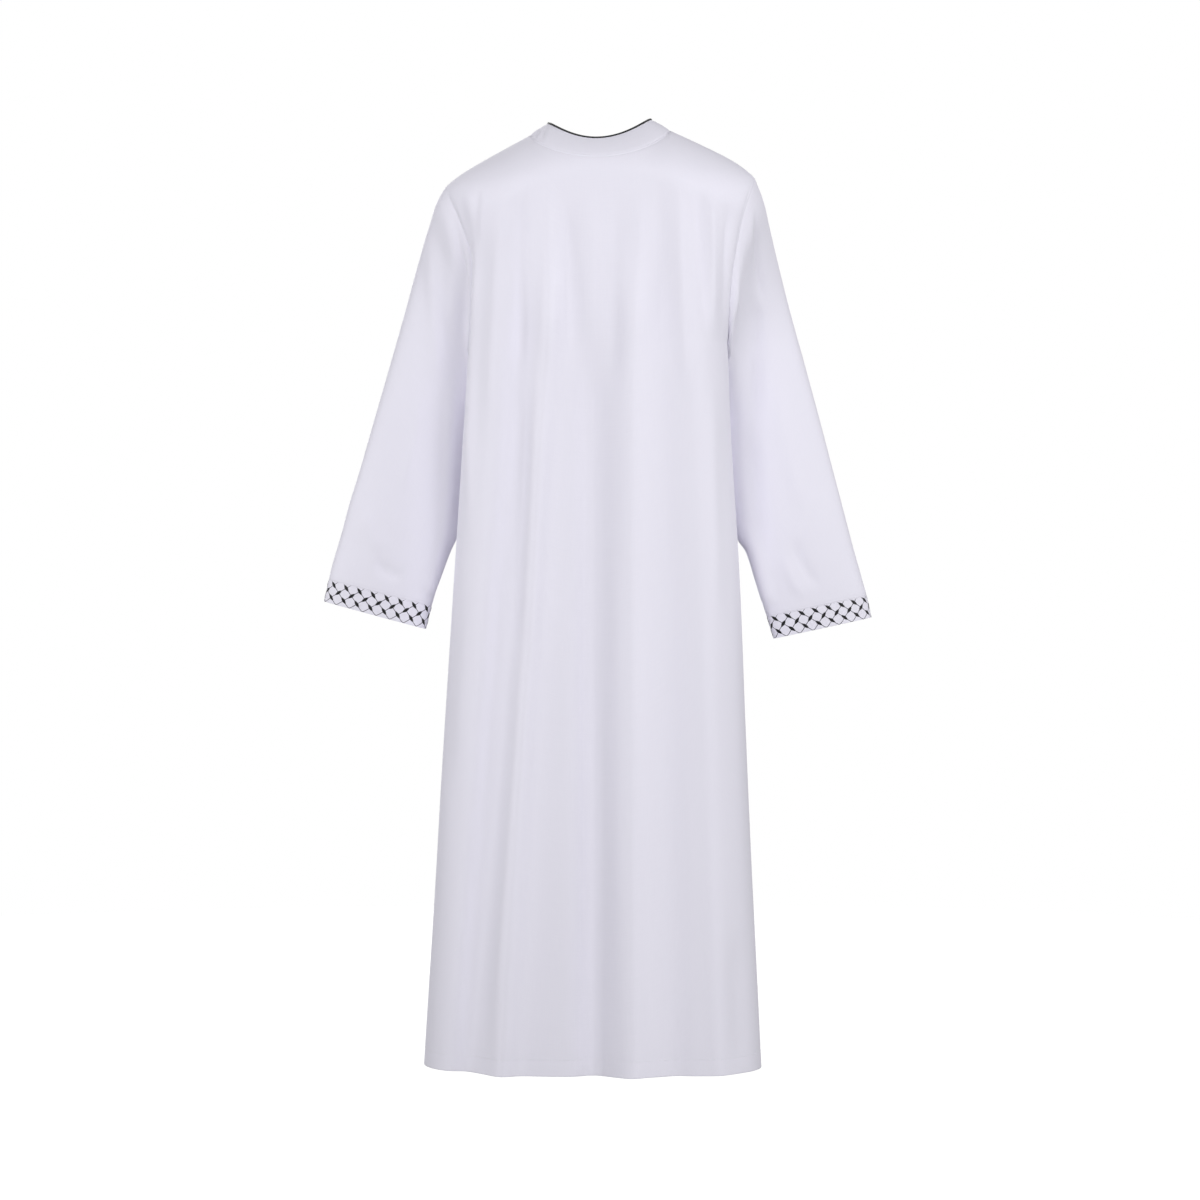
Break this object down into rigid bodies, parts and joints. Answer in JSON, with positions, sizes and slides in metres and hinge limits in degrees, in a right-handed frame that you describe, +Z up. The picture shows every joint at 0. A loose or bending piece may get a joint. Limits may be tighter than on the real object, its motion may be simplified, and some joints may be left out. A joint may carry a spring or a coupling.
{
  "type": "thobe robe",
  "caption": "Long white cotton thobe robe with long sleeves, a low stand collar, a short front placket and net-patterned cuff bands, held in its worn shape.",
  "frame": {"origin": "middle of the neck opening, at the height of the shoulder seams, where the robe hangs", "axes": "+Z up from the hem to the collar, +X to the wearer's left, +Y from the front panel to the back panel"},
  "size_m": [0.831, 0.3111, 1.4196],
  "materials": {
    "white_cotton": "matt plain weave, cool white",
    "bordered_cotton": "matt plain weave with a black net border",
    "black_piping": "matt twisted cotton cord",
    "pearl_white_button": "satin"
  },
  "bodies": {
    "root": {"back_panel": "white_cotton", "button_1": "pearl_white_button", "button_2": "pearl_white_button", "button_3": "pearl_white_button", "button_collar": "pearl_white_button", "collar": "white_cotton", "collar_piping": "black_piping", "cuff_left": "bordered_cotton", "cuff_right": "bordered_cotton", "front_panel": "white_cotton", "placket": "white_cotton", "sleeve_left": "white_cotton", "sleeve_right": "white_cotton"}
  },
  "joints": []
}
